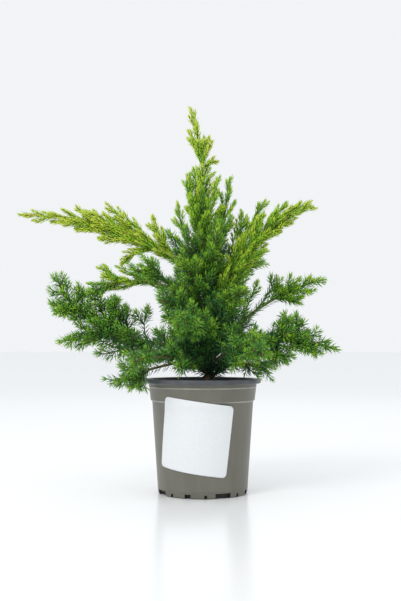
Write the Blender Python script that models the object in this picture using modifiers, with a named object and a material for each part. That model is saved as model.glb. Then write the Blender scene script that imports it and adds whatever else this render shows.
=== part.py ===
"""A potted gold star juniper: a young spreading conifer in a round nursery pot, life size.

Lengths are in metres and angles in degrees. Z is up, the pot stands on z = 0 with its axis on
the Z axis, and the photographed side faces -Y. A heading is an angle about the pot's axis:
0 points to +X, 90 to the back, 180 to -X and 270 to the photographed side.
"""

import math
import random
from collections import namedtuple

import bmesh
import bpy
import numpy as np
from mathutils import Matrix, Quaternion, Vector

OBJECT_NAME = "potted_gold_star_juniper"
GAP = 0.0003
WELD = 1e-6
UNIT_RADIUS = 0.001
WOOD_STEP = 0.001

# Pot: a tapering wall, a collar that steps out over it, and a heavier lip.
POT_HEIGHT = 0.102
LIP_RADIUS = 0.0525
LIP_HEIGHT = 0.0041
LIP_EDGE = 0.0006
MOUTH_RADIUS = 0.0474
COLLAR_RADIUS_TOP = 0.0488
COLLAR_RADIUS_FOOT = 0.0469
COLLAR_FOOT = 0.0827
WALL_RADIUS_TOP = 0.0456
WALL_TOP = 0.0819
WALL_RADIUS_FOOT = 0.0401
HEEL_RADIUS = 0.0388
HEEL_HEIGHT = 0.0016
WALL_THICKNESS = 0.0013
FLOOR_THICKNESS = 0.0018
POT_STEPS = 32

# Drain slots through the heel: each kind repeats every 90 or 45 degrees round the pot.
SLOT_REACH = 0.008
SLOT_KINDS = (
    {"first": 206.0, "count": 4, "width": 0.0145, "height": 0.0046},
    {"first": 251.0, "count": 4, "width": 0.0055, "height": 0.0040},
    {"first": 228.5, "count": 8, "width": 0.0024, "height": 0.0034},
)

# Soil fills the pot to just under the lip.
SOIL_TOP = 0.0917
SOIL_EDGE_DROP = 0.0016
SOIL_FLAT_RADIUS = 0.030

# Sticker on the front of the wall, turned a little clockwise.
LABEL_WIDTH = 0.0640
LABEL_HEIGHT = 0.0620
LABEL_CORNER = 0.0036
LABEL_THICKNESS = 0.0004
LABEL_CENTRE_HEIGHT = 0.0528
LABEL_HEADING = 260.5
LABEL_TURN = 8.0
LABEL_COLUMNS = 12
LABEL_ROWS = 6
STICKER_LIFT_FOOT = 0.0740
STICKER_LIFT_TOP = 0.0795

# Trunk: from its flat cut on the soil to the point where the leader's foliage takes over.
TRUNK_FOOT = SOIL_TOP + GAP
TRUNK_TOP = 0.2880
TRUNK_FOOT_X = 0.0052
TRUNK_TOP_X = 0.0006
TRUNK_WAVE = 0.0012
TRUNK_FOOT_RADIUS = 0.0036
TRUNK_TOP_RADIUS = 0.0011
FLARE_RADIUS = 0.0026
FLARE_HEIGHT = 0.0055
TRUNK_STEPS = 14
TRUNK_CROWDING = 1.4

# Limbs: radius where they leave the trunk, which grows with their length, and at their tips.
LIMB_ROOT_RADIUS = 0.0009
LIMB_RADIUS_PER_LENGTH = 0.0065
LIMB_TIP_RADIUS = 0.0008
FORK_TURN = 1.0
BOUGH_SIDES = 6
CURVE_STEP = 0.0020
BOUGH_STEP = 0.011
STEM_STEP = 0.018

# The growing rule of side shoots: shares of their spacing, turn and length.
PLACE_FIRST = 0.35
PLACE_SPREAD = 0.3
TURN_SPREAD = 0.5
LENGTH_LEAST = 0.75
LENGTH_SPREAD = 0.4
SHOOT_ELBOW = 0.55
SHOOT_STRAIGHTENING = 0.4

# Side shoots and needles of the solids, thicker and fewer than the real ones.
TWIG_EVERY = 3
TWIG_STEP = 0.018
TWIG_ROOT_RADIUS = 0.0022
TWIG_TIP_RADIUS = 0.0010
NEEDLE_WIDTH_SHARE = 0.48
NEEDLE_STAGGER = (0.25, 0.5, 0.75)
NEEDLE_LEAN = 12
NEEDLE_SCALE = 1.75
NEEDLE_TAPER = 1.0
NEEDLE_LEAST = 0.85
NEEDLE_SPREAD = 0.3
BARE_FACE_EVERY = 3
NEEDLE_CHECKS = (0.35, 0.7, 1.0)
LIMB_CLEARANCE = 0.0006
POT_CLEARANCE = 0.0012

GOLDEN_ANGLE = math.radians(137.5)
UP = Vector((0.0, 0.0, 1.0))

# How foliage grows. A side shoot leaves its stem at `angle`; its length is `share` of the stem
# that is left beyond it plus `least`, and `longest` at most. `every` is the distance between
# side shoots, `rise` is how strongly their ends turn up, and needles stand out at `spread`.
Habit = namedtuple("Habit", "angle share least longest every rise needle spread")
HABITS = {
    "plume": Habit(24, 0.34, 0.006, 0.042, 0.0068, 0.10, 0.0070, 34),
    "spray": Habit(36, 0.36, 0.008, 0.034, 0.0064, 0.14, 0.0080, 44),
    "bush": Habit(46, 0.38, 0.010, 0.034, 0.0062, 0.10, 0.0092, 56),
}

# Limbs. Each leaves the trunk at height `leaves`, and its tip lies at `heading` and `reach` from
# the pot's axis, at height `tip`. It bends where `out` of its way out is done, towards the
# height `crest`. Its first stretch, `bare`, is the bough, and the rest is foliage.
Limb = namedtuple("Limb", "name leaves heading reach tip out crest bare habit")
LIMBS = (
    Limb("crown_left", 0.226, 197, 0.0120, 0.268, 0.80, 0.243, 0.0, "plume"),
    Limb("crown_right", 0.205, 350, 0.0250, 0.283, 0.75, 0.236, 0.0, "plume"),
    Limb("crown_front", 0.236, 312, 0.0185, 0.281, 0.80, 0.252, 0.0, "plume"),
    Limb("crown_back", 0.222, 100, 0.0200, 0.272, 0.80, 0.240, 0.0, "plume"),
    Limb("shoulder_left", 0.196, 188, 0.0230, 0.259, 0.80, 0.222, 0.0, "plume"),
    Limb("shoulder_back", 0.190, 62, 0.0360, 0.262, 0.70, 0.224, 0.0, "plume"),
    Limb("upper_left", 0.172, 184, 0.1620, 0.2495, 0.20, 0.246, 0.036, "plume"),
    Limb("upper_right", 0.166, 12, 0.0590, 0.2660, 0.52, 0.221, 0.026, "plume"),
    Limb("right_gold", 0.124, 337, 0.1025, 0.2520, 0.25, 0.236, 0.034, "plume"),
    Limb("left_shoulder", 0.148, 196, 0.0670, 0.2000, 0.45, 0.196, 0.020, "spray"),
    Limb("mid_left", 0.158, 175, 0.1190, 0.1730, 0.40, 0.215, 0.050, "plume"),
    Limb("lower_left", 0.116, 180, 0.1340, 0.1960, 0.84, 0.133, 0.028, "bush"),
    Limb("low_left", 0.122, 199, 0.0840, 0.0985, 0.78, 0.1100, 0.022, "bush"),
    Limb("right_mid", 0.122, 4, 0.1120, 0.1925, 0.42, 0.178, 0.028, "spray"),
    Limb("right_low", 0.108, 353, 0.1160, 0.1290, 0.58, 0.150, 0.026, "bush"),
    Limb("right_bottom", 0.100, 338, 0.0620, 0.1085, 0.45, 0.126, 0.018, "bush"),
    Limb("front_left_low", 0.105, 230, 0.0900, 0.1180, 0.50, 0.130, 0.020, "bush"),
    Limb("front_right_low", 0.112, 302, 0.0940, 0.1230, 0.50, 0.138, 0.020, "bush"),
    Limb("front_left", 0.134, 233, 0.0600, 0.1700, 0.45, 0.164, 0.018, "bush"),
    Limb("front_right", 0.149, 308, 0.0600, 0.1780, 0.45, 0.172, 0.018, "spray"),
    Limb("front_middle", 0.128, 260, 0.0820, 0.1500, 0.45, 0.158, 0.018, "bush"),
    Limb("front_high", 0.156, 245, 0.0460, 0.2080, 0.50, 0.190, 0.016, "spray"),
    Limb("front_crest", 0.178, 290, 0.0370, 0.2320, 0.60, 0.212, 0.012, "spray"),
    Limb("back_left_low", 0.108, 142, 0.1080, 0.1360, 0.55, 0.146, 0.026, "bush"),
    Limb("back_low", 0.104, 97, 0.1120, 0.1260, 0.55, 0.140, 0.026, "bush"),
    Limb("back_right_low", 0.118, 52, 0.1040, 0.1340, 0.55, 0.146, 0.026, "bush"),
    Limb("back_left", 0.142, 128, 0.1000, 0.2060, 0.35, 0.196, 0.026, "spray"),
    Limb("back_right", 0.146, 40, 0.0760, 0.2140, 0.35, 0.202, 0.024, "spray"),
    Limb("back_high", 0.160, 86, 0.0660, 0.2300, 0.40, 0.214, 0.022, "spray"),
)

# Forks: strong side shoots. Each leaves its limb where `at` of the limb's length is behind it.
Fork = namedtuple("Fork", "limb at heading reach tip")
FORKS = (
    Fork("leader", 0.20, 181, 0.0130, 0.321),
    Fork("leader", 0.28, 320, 0.0034, 0.320),
    Fork("leader", 0.15, 356, 0.0085, 0.318),
    Fork("leader", 0.08, 24, 0.0140, 0.302),
    Fork("crown_left", 0.30, 170, 0.0120, 0.289),
    Fork("crown_right", 0.30, 356, 0.0270, 0.2430),
    Fork("upper_left", 0.34, 190, 0.0740, 0.2065),
    Fork("upper_left", 0.38, 187, 0.0920, 0.2270),
    Fork("upper_left", 0.46, 181, 0.1080, 0.2540),
    Fork("upper_left", 0.34, 178, 0.0800, 0.2490),
    Fork("upper_left", 0.24, 182, 0.0460, 0.2480),
    Fork("upper_left", 0.52, 186, 0.1300, 0.2425),
    Fork("upper_right", 0.45, 10, 0.0370, 0.2530),
    Fork("right_gold", 0.60, 345, 0.0980, 0.2590),
    Fork("right_gold", 0.52, 350, 0.0760, 0.2600),
    Fork("right_gold", 0.42, 340, 0.0560, 0.2470),
    Fork("right_gold", 0.40, 325, 0.0660, 0.2140),
    Fork("mid_left", 0.60, 176, 0.0930, 0.2040),
    Fork("left_shoulder", 0.50, 205, 0.0560, 0.2080),
    Fork("lower_left", 0.30, 176, 0.0520, 0.1640),
    Fork("lower_left", 0.40, 188, 0.0800, 0.1730),
    Fork("lower_left", 0.50, 181, 0.0970, 0.1840),
    Fork("lower_left", 0.66, 178, 0.1130, 0.1840),
    Fork("lower_left", 0.76, 186, 0.1320, 0.1630),
    Fork("lower_left", 0.55, 187, 0.1210, 0.1330),
    Fork("low_left", 0.62, 208, 0.0700, 0.0960),
    Fork("right_mid", 0.45, 10, 0.0690, 0.1950),
    Fork("right_mid", 0.62, 358, 0.0830, 0.1910),
    Fork("right_mid", 0.62, 0, 0.0890, 0.1700),
    Fork("right_low", 0.50, 2, 0.0800, 0.1560),
    Fork("right_low", 0.66, 350, 0.0900, 0.1530),
    Fork("right_low", 0.55, 345, 0.0660, 0.1140),
    Fork("right_low", 0.70, 356, 0.1020, 0.1260),
)
LEADER_TIP = Vector((-0.0108, 0.0, 0.3490))
LEADER_HABIT = "plume"


def towards(heading):
    """The level direction of a heading."""
    angle = math.radians(heading)
    return Vector((math.cos(angle), math.sin(angle), 0.0))


def bend(start, elbow, tip, step=CURVE_STEP):
    """Points along the smooth curve that leaves `start` for `elbow` and arrives at `tip`."""
    count = max(4, round(((elbow - start).length + (tip - elbow).length) / step))
    points = []
    for i in range(count + 1):
        t = i / count
        points.append(start * (1 - t) ** 2 + elbow * (2 * t * (1 - t)) + tip * t**2)
    return points


class Shoot:
    """A curved shoot: the points of its axis, and its radius at both ends."""

    def __init__(self, points, root_radius, tip_radius):
        self.points = points
        self.root_radius = root_radius
        self.tip_radius = tip_radius
        self.distances = [0.0]
        for a, b in zip(points, points[1:]):
            self.distances.append(self.distances[-1] + (b - a).length)
        self.length = self.distances[-1]

    def at(self, distance):
        """The point of the axis at this distance, and the direction that it goes there."""
        distance = min(max(distance, 0.0), self.length)
        i = 0
        while i < len(self.points) - 2 and self.distances[i + 1] < distance:
            i += 1
        span = self.distances[i + 1] - self.distances[i]
        a, b = self.points[i], self.points[i + 1]
        return a.lerp(b, (distance - self.distances[i]) / span), (b - a).normalized()

    def radius(self, distance):
        share = distance / self.length
        return self.root_radius + (self.tip_radius - self.root_radius) * share

    def part(self, start, end):
        """The stretch of this shoot between two distances."""
        inner = [p for p, d in zip(self.points, self.distances) if start < d < end]
        points = [self.at(start)[0], *inner, self.at(end)[0]]
        return Shoot(points, self.radius(start), self.radius(end))

    def stations(self, step):
        """Distances along the shoot, both ends included, about `step` apart."""
        count = max(1, round(self.length / step))
        return [self.length * i / count for i in range(count + 1)]


def trunk_axis(height):
    """The middle of the trunk at a height: it leans to -X as it rises, in a slight wave."""
    t = (height - TRUNK_FOOT) / (TRUNK_TOP - TRUNK_FOOT)
    x = TRUNK_FOOT_X + (TRUNK_TOP_X - TRUNK_FOOT_X) * t + TRUNK_WAVE * math.sin(2 * math.pi * t)
    y = TRUNK_WAVE * math.sin(math.pi * t)
    return Vector((x, y, height))


def trunk_radius(height):
    """The trunk's radius at a height: a straight taper, with a flare at its foot."""
    t = (height - TRUNK_FOOT) / (TRUNK_TOP - TRUNK_FOOT)
    taper = TRUNK_FOOT_RADIUS + (TRUNK_TOP_RADIUS - TRUNK_FOOT_RADIUS) * t
    return taper + FLARE_RADIUS * math.exp(-(height - TRUNK_FOOT) / FLARE_HEIGHT)


def limb_shoot(limb):
    """The whole limb, bough and foliage stem, from the trunk's axis to its tip."""
    start = trunk_axis(limb.leaves)
    tip = towards(limb.heading) * limb.reach + UP * limb.tip
    elbow = start.lerp(tip, limb.out)
    elbow.z = limb.crest
    length = (elbow - start).length + (tip - elbow).length
    root = LIMB_ROOT_RADIUS + LIMB_RADIUS_PER_LENGTH * length
    return Shoot(bend(start, elbow, tip), root, LIMB_TIP_RADIUS)


def fork_shoot(fork, limb):
    """A strong side shoot: it leaves along its limb, then turns to its own tip."""
    start, direction = limb.at(fork.at * limb.length)
    tip = towards(fork.heading) * fork.reach + UP * fork.tip
    leaving = (direction + (tip - start).normalized() * FORK_TURN).normalized()
    elbow = start + leaving * (tip - start).length * 0.5
    return Shoot(bend(start, elbow, tip), TWIG_ROOT_RADIUS, TWIG_TIP_RADIUS)


def all_limbs():
    """Each mass's limb and forks by name, the leader's stem on top of the trunk included."""
    top = trunk_axis(TRUNK_TOP + GAP)
    below = trunk_axis(TRUNK_TOP - 0.02)
    elbow = top + (top - below).normalized() * 0.018
    limbs = {"leader": Shoot(bend(top, elbow, LEADER_TIP), TRUNK_TOP_RADIUS, LIMB_TIP_RADIUS)}
    for limb in LIMBS:
        limbs[limb.name] = limb_shoot(limb)
    forks = {name: [] for name in limbs}
    for fork in FORKS:
        forks[fork.limb].append(fork_shoot(fork, limbs[fork.limb]))
    return limbs, forks


class Space:
    """Which mass each place belongs to, and where the limbs and the pot are."""

    def __init__(self, limbs, forks, bare, wood):
        self.owners, points = [], []
        for name, limb in limbs.items():
            for shoot in (limb, *forks[name]):
                first = bare[name] if shoot is limb else 0.0
                for distance in shoot.part(first, shoot.length).distances:
                    points.append(shoot.at(first + distance)[0])
                    self.owners.append(name)
        self.owners = np.array(self.owners)
        self.points = np.array(points)
        self.wood_points = np.array([point for point, _ in wood])
        self.wood_radii = np.array([radius for _, radius in wood])

    def allows(self, name, points, radius):
        """Whether these points lie in this mass's own space, clear of limbs and pot."""
        points = np.array(points)
        apart = np.linalg.norm(points[:, None] - self.points[None], axis=2)
        own = apart[:, self.owners == name].min(axis=1)
        other = apart[:, self.owners != name].min(axis=1)
        if (own + 2 * radius + GAP > other).any():
            return False
        apart = np.linalg.norm(points[:, None] - self.wood_points[None], axis=2)
        if (apart < self.wood_radii + radius + LIMB_CLEARANCE).any():
            return False
        out = np.hypot(points[:, 0], points[:, 1])
        over_pot = (points[:, 2] < POT_HEIGHT + POT_CLEARANCE) & (out < LIP_RADIUS + POT_CLEARANCE)
        return not over_pot.any()


def sideways(direction, turn):
    """The level or rising direction at right angles to this one, turned about it."""
    across = direction.cross(UP)
    if across.length < 1e-3:
        across = Vector((1.0, 0.0, 0.0))
    return Quaternion(direction, turn) @ across.normalized()


def side_shoots(name, stem, habit):
    """The side shoots of one stem by the habit's rule, with their places in its order."""
    rng = random.Random(name)
    for i in range(int(stem.length / habit.every)):
        jitter, stretch, twist = rng.random(), rng.random(), rng.random()
        distance = habit.every * (i + PLACE_FIRST + PLACE_SPREAD * jitter)
        if distance > stem.length - 0.5 * habit.least:
            return
        start, ahead = stem.at(distance)
        length = min(habit.longest, habit.share * (stem.length - distance) + habit.least)
        length *= LENGTH_LEAST + LENGTH_SPREAD * stretch
        side = sideways(ahead, i * GOLDEN_ANGLE + TURN_SPREAD * twist)
        angle = math.radians(habit.angle)
        leaving = ahead * math.cos(angle) + side * math.sin(angle)
        elbow = start + leaving * length * SHOOT_ELBOW
        ending = leaving.lerp(ahead, SHOOT_STRAIGHTENING) + UP * habit.rise
        tip = elbow + ending.normalized() * length * (1 - SHOOT_ELBOW)
        yield i, Shoot(bend(start, elbow, tip), TWIG_ROOT_RADIUS, TWIG_TIP_RADIUS)


def mass_shoots(name, stem, forks, habit, space):
    """The stem, the forks and the side shoots of one mass that keep to its space."""
    shoots = [stem, *forks]
    for i, twig in side_shoots(name, stem, habit):
        if i % TWIG_EVERY == 1 and space.allows(name, twig.points[1:], TWIG_ROOT_RADIUS):
            shoots.append(twig)
    return shoots


def long_faces(core, shoot):
    """The start, the run and the normal of the middle line of each long face of a core."""
    for face in core.data.polygons:
        if len(face.vertices) != 4:
            continue
        a, b, c, d = (core.data.vertices[i].co.copy() for i in face.vertices)
        if (a - b).length > (b - c).length:
            a, b, c, d = b, c, d, a
        start, end = (a + b) / 2, (c + d) / 2
        if (end - start).dot(shoot.points[-1] - shoot.points[0]) < 0:
            start, end = end, start
        yield start, end - start, face.normal.copy()


def core_needles(name, core, shoot, habit):
    """Root, run and root radius of each needle that stands on a core, face by face."""
    rng = random.Random(name)
    for k, (start, run, normal) in enumerate(long_faces(core, shoot)):
        lean, size = rng.random(), rng.random()
        if k % BARE_FACE_EVERY == 0:
            continue
        seat = start + run * NEEDLE_STAGGER[k % len(NEEDLE_STAGGER)]
        distance = (seat - shoot.points[0]).length
        width = NEEDLE_WIDTH_SHARE * shoot.radius(distance)
        angle = math.radians(habit.spread + NEEDLE_LEAN * (lean - 0.5))
        direction = run.normalized() * math.cos(angle) + normal * math.sin(angle)
        length = habit.needle * (NEEDLE_SCALE - NEEDLE_TAPER * distance / shoot.length)
        length *= NEEDLE_LEAST + NEEDLE_SPREAD * size
        yield seat - normal * width, direction * length, width


def mass_needles(name, cores, shoots, habit, space):
    """The needles of one mass that keep to its space."""
    for k, (core, shoot) in enumerate(zip(cores, shoots)):
        for root, needle, width in core_needles(f"{name} needles {k}", core, shoot, habit):
            checked = [root + needle * share for share in NEEDLE_CHECKS]
            if space.allows(name, checked, width):
                yield root, needle, width


def principled(name, colour, roughness):
    """A plain material of one colour and roughness."""
    material = bpy.data.materials.new(name)
    material.use_nodes = True
    shader = material.node_tree.nodes["Principled BSDF"]
    shader.inputs["Base Color"].default_value = (*colour, 1.0)
    shader.inputs["Roughness"].default_value = roughness
    shader.inputs["Metallic"].default_value = 0.0
    return material


def add_object(name, data, collection, material=None):
    thing = bpy.data.objects.new(name, data)
    collection.objects.link(thing)
    if material:
        data.materials.append(material)
    return thing


def as_helper(thing):
    """Marks a cutter or a guide, which is no part of the object."""
    thing.hide_render = True
    thing.display_type = "WIRE"
    return thing


def smooth(thing, angle=40):
    thing.data.shade_smooth()
    thing.data.set_sharp_from_angle(angle=math.radians(angle))


def three_sided_section(collection):
    """The outline that gives a twig its three sides, as a guide of unit radius."""
    curve = bpy.data.curves.new("three_sides", "CURVE")
    spline = curve.splines.new("POLY")
    spline.points.add(2)
    for i, point in enumerate(spline.points):
        angle = 2 * math.pi * i / 3
        point.co = (UNIT_RADIUS * math.cos(angle), UNIT_RADIUS * math.sin(angle), 0.0, 1.0)
    spline.use_cyclic_u = True
    return as_helper(add_object("three_sides", curve, collection))


def tapering_tube(name, shoot, step, collection, section=None, sides=4):
    """A closed mesh round a shoot, as thick as the shoot is at each of its stations."""
    curve = bpy.data.curves.new(name, "CURVE")
    curve.dimensions = "3D"
    curve.use_fill_caps = True
    if section:
        curve.bevel_mode = "OBJECT"
        curve.bevel_object = section
    else:
        curve.bevel_depth = UNIT_RADIUS
        curve.bevel_resolution = (sides - 4) // 2
    spline = curve.splines.new("POLY")
    stations = shoot.stations(step)
    spline.points.add(len(stations) - 1)
    for point, distance in zip(spline.points, stations):
        point.co = (*shoot.at(distance)[0], 1.0)
        point.radius = shoot.radius(distance) / UNIT_RADIUS
    return welded_mesh(add_object(name, curve, collection))


def welded_mesh(curve_object):
    """Turns a curve object into a closed mesh object of the same name and place."""
    name, collection = curve_object.name, curve_object.users_collection[0]
    graph = bpy.context.evaluated_depsgraph_get()
    mesh = bpy.data.meshes.new_from_object(curve_object.evaluated_get(graph))
    matrix = curve_object.matrix_world.copy()
    curve = curve_object.data
    bpy.data.objects.remove(curve_object)
    bpy.data.curves.remove(curve)
    work = bmesh.new()
    work.from_mesh(mesh)
    bmesh.ops.remove_doubles(work, verts=work.verts, dist=WELD)
    bmesh.ops.recalc_face_normals(work, faces=work.faces)
    work.to_mesh(mesh)
    work.free()
    mesh.name = name
    solid = add_object(name, mesh, collection)
    solid.matrix_world = matrix
    return solid


def needle_mesh():
    """A three-sided spike, 1 m long along +Z from its root, of 1 m radius there."""
    work = bmesh.new()
    bmesh.ops.create_cone(
        work, cap_ends=True, segments=3, radius1=1.0, radius2=0.0, depth=1.0,
        matrix=Matrix.Translation((0.0, 0.0, 0.5)),
    )
    mesh = bpy.data.meshes.new("needle")
    work.to_mesh(mesh)
    work.free()
    return mesh


def largest_piece(mesh):
    """Deletes every loose scrap and sealed hollow, which leaves the piece with the most faces."""
    work = bmesh.new()
    work.from_mesh(mesh)
    unseen, pieces = set(work.verts), []
    while unseen:
        piece, front = set(), [unseen.pop()]
        while front:
            vertex = front.pop()
            piece.add(vertex)
            for edge in vertex.link_edges:
                other = edge.other_vert(vertex)
                if other in unseen:
                    unseen.remove(other)
                    front.append(other)
        pieces.append(piece)
    keep = max(pieces, key=len)
    loose = [vertex for vertex in work.verts if vertex not in keep]
    bmesh.ops.delete(work, geom=loose, context="VERTS")
    work.to_mesh(mesh)
    work.free()


def fused(stem, pieces):
    """Joins a collection of pieces to the stem by one union, and removes the collection."""
    union = stem.modifiers.new("fuse", "BOOLEAN")
    union.operation = "UNION"
    union.solver = "EXACT"
    union.operand_type = "COLLECTION"
    union.collection = pieces
    graph = bpy.context.evaluated_depsgraph_get()
    mesh = bpy.data.meshes.new_from_object(stem.evaluated_get(graph))
    stem.modifiers.remove(union)
    old, stem.data = stem.data, mesh
    mesh.name = stem.name
    bpy.data.meshes.remove(old)
    for piece in list(pieces.objects):
        bpy.data.objects.remove(piece)
    bpy.data.collections.remove(pieces)
    largest_piece(mesh)


def cut_clear(thing, cutter):
    """Cuts the seat of the trunk out of a limb that starts inside it."""
    cut = thing.modifiers.new("trunk", "BOOLEAN")
    cut.operation = "DIFFERENCE"
    cut.solver = "EXACT"
    cut.object = cutter


def trunk_object(name, extra, collection, material=None):
    """The trunk, or a copy of it that is wider by `extra`."""
    curve = bpy.data.curves.new(name, "CURVE")
    curve.dimensions = "3D"
    curve.use_fill_caps = True
    curve.bevel_depth = UNIT_RADIUS
    curve.bevel_resolution = 2
    spline = curve.splines.new("POLY")
    spline.points.add(TRUNK_STEPS)
    for i, point in enumerate(spline.points):
        height = TRUNK_FOOT + (TRUNK_TOP - TRUNK_FOOT) * (i / TRUNK_STEPS) ** TRUNK_CROWDING
        point.co = (*trunk_axis(height), 1.0)
        point.radius = (trunk_radius(height) + extra) / UNIT_RADIUS
    trunk = welded_mesh(add_object(name, curve, collection))
    if material:
        trunk.data.materials.append(material)
    return trunk


def turned(name, profile, collection, material):
    """A solid turned about the Z axis from its profile, given inner side first."""
    work = bmesh.new()
    points = [work.verts.new((radius, 0.0, height)) for radius, height in profile]
    for a, b in zip(points, points[1:]):
        work.edges.new((a, b))
    mesh = bpy.data.meshes.new(name)
    work.to_mesh(mesh)
    work.free()
    solid = add_object(name, mesh, collection, material)
    screw = solid.modifiers.new("turn", "SCREW")
    screw.axis = "Z"
    screw.steps = screw.render_steps = POT_STEPS
    screw.use_merge_vertices = True
    screw.merge_threshold = WELD
    return solid


def wall_radius(height):
    """Outer radius of the pot under its collar."""
    share = (height - HEEL_HEIGHT) / (WALL_TOP - HEEL_HEIGHT)
    return WALL_RADIUS_FOOT + (WALL_RADIUS_TOP - WALL_RADIUS_FOOT) * share


def collar_radius(height):
    share = (height - COLLAR_FOOT) / (POT_HEIGHT - LIP_HEIGHT - COLLAR_FOOT)
    return COLLAR_RADIUS_FOOT + (COLLAR_RADIUS_TOP - COLLAR_RADIUS_FOOT) * share


def make_pot(collection, cutters, material):
    lip_foot = POT_HEIGHT - LIP_HEIGHT
    inside = (
        (0.0, FLOOR_THICKNESS),
        (wall_radius(FLOOR_THICKNESS) - WALL_THICKNESS, FLOOR_THICKNESS),
        (WALL_RADIUS_TOP - WALL_THICKNESS, WALL_TOP),
        (COLLAR_RADIUS_FOOT - WALL_THICKNESS, COLLAR_FOOT + WALL_THICKNESS),
        (MOUTH_RADIUS, lip_foot),
        (MOUTH_RADIUS, POT_HEIGHT),
    )
    outside = (
        (LIP_RADIUS - LIP_EDGE, POT_HEIGHT),
        (LIP_RADIUS, POT_HEIGHT - LIP_EDGE),
        (LIP_RADIUS, lip_foot),
        (COLLAR_RADIUS_TOP, lip_foot),
        (COLLAR_RADIUS_FOOT, COLLAR_FOOT),
        (WALL_RADIUS_TOP, WALL_TOP),
        (WALL_RADIUS_FOOT, HEEL_HEIGHT),
        (HEEL_RADIUS, 0.0),
        (0.0, 0.0),
    )
    pot = turned("pot", inside + outside, collection, material)
    work = bmesh.new()
    for kind in SLOT_KINDS:
        for i in range(kind["count"]):
            heading = kind["first"] + 360.0 * i / kind["count"]
            depth = 2 * kind["height"]
            place = (
                Matrix.Rotation(math.radians(heading), 4, "Z")
                @ Matrix.Translation((WALL_RADIUS_FOOT, 0.0, 0.0))
                @ Matrix.Diagonal((SLOT_REACH, kind["width"], depth, 1.0))
            )
            bmesh.ops.create_cube(work, size=1.0, matrix=place)
    mesh = bpy.data.meshes.new("drain_slots")
    work.to_mesh(mesh)
    work.free()
    slots = as_helper(add_object("drain_slots", mesh, cutters))
    cut = pot.modifiers.new("drain_slots", "BOOLEAN")
    cut.operation = "DIFFERENCE"
    cut.solver = "EXACT"
    cut.object = slots


def make_soil(collection, material):
    foot = FLOOR_THICKNESS + GAP
    clear = WALL_THICKNESS + GAP
    shoulder = SOIL_TOP - SOIL_EDGE_DROP
    profile = (
        (0.0, SOIL_TOP),
        (SOIL_FLAT_RADIUS, SOIL_TOP),
        (collar_radius(shoulder) - clear, shoulder),
        (COLLAR_RADIUS_FOOT - clear, COLLAR_FOOT + WALL_THICKNESS),
        (WALL_RADIUS_TOP - clear, WALL_TOP),
        (wall_radius(foot) - clear, foot),
        (0.0, foot),
    )
    turned("soil", profile, collection, material)


def sticker_radius(height):
    """Radius of the sticker's inner face: it lies on the wall, and lifts to pass the collar."""
    lift = (height - STICKER_LIFT_FOOT) / (STICKER_LIFT_TOP - STICKER_LIFT_FOOT)
    lift = min(max(lift, 0.0), 1.0)
    return wall_radius(height) * (1 - lift) + collar_radius(height) * lift + GAP


def make_label(collection, material):
    """A rounded square bent round the pot, with its corners drawn in by quarter circles."""
    work = bmesh.new()
    bmesh.ops.create_grid(work, x_segments=LABEL_COLUMNS, y_segments=LABEL_ROWS, size=0.5)
    turn = math.radians(LABEL_TURN)
    straight = LABEL_WIDTH / 2 - LABEL_CORNER
    for vertex in work.verts:
        across, up = vertex.co.x * LABEL_WIDTH, vertex.co.y * LABEL_HEIGHT
        past = max(abs(across) - straight, 0.0)
        drawn_in = LABEL_CORNER - math.sqrt(max(LABEL_CORNER**2 - past**2, 0.0))
        up *= 1 - drawn_in / (LABEL_HEIGHT / 2)
        arc = across * math.cos(turn) + up * math.sin(turn)
        height = LABEL_CENTRE_HEIGHT - across * math.sin(turn) + up * math.cos(turn)
        radius = sticker_radius(height)
        heading = LABEL_HEADING + math.degrees(arc / radius)
        vertex.co = towards(heading) * radius + UP * height
    mesh = bpy.data.meshes.new("label")
    work.to_mesh(mesh)
    work.free()
    label = add_object("label", mesh, collection, material)
    shell = label.modifiers.new("thickness", "SOLIDIFY")
    shell.thickness = LABEL_THICKNESS
    shell.offset = 1.0
    smooth(label)


def bare_wood(limbs, bare):
    """Points and radii along the trunk and the boughs, which foliage keeps clear of."""
    heights = np.arange(TRUNK_FOOT, TRUNK_TOP, WOOD_STEP)
    wood = [(trunk_axis(height), trunk_radius(height)) for height in heights]
    for name, limb in limbs.items():
        for distance in np.arange(0.0, bare[name], WOOD_STEP):
            wood.append((limb.at(distance)[0], limb.radius(distance)))
    return wood


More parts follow.
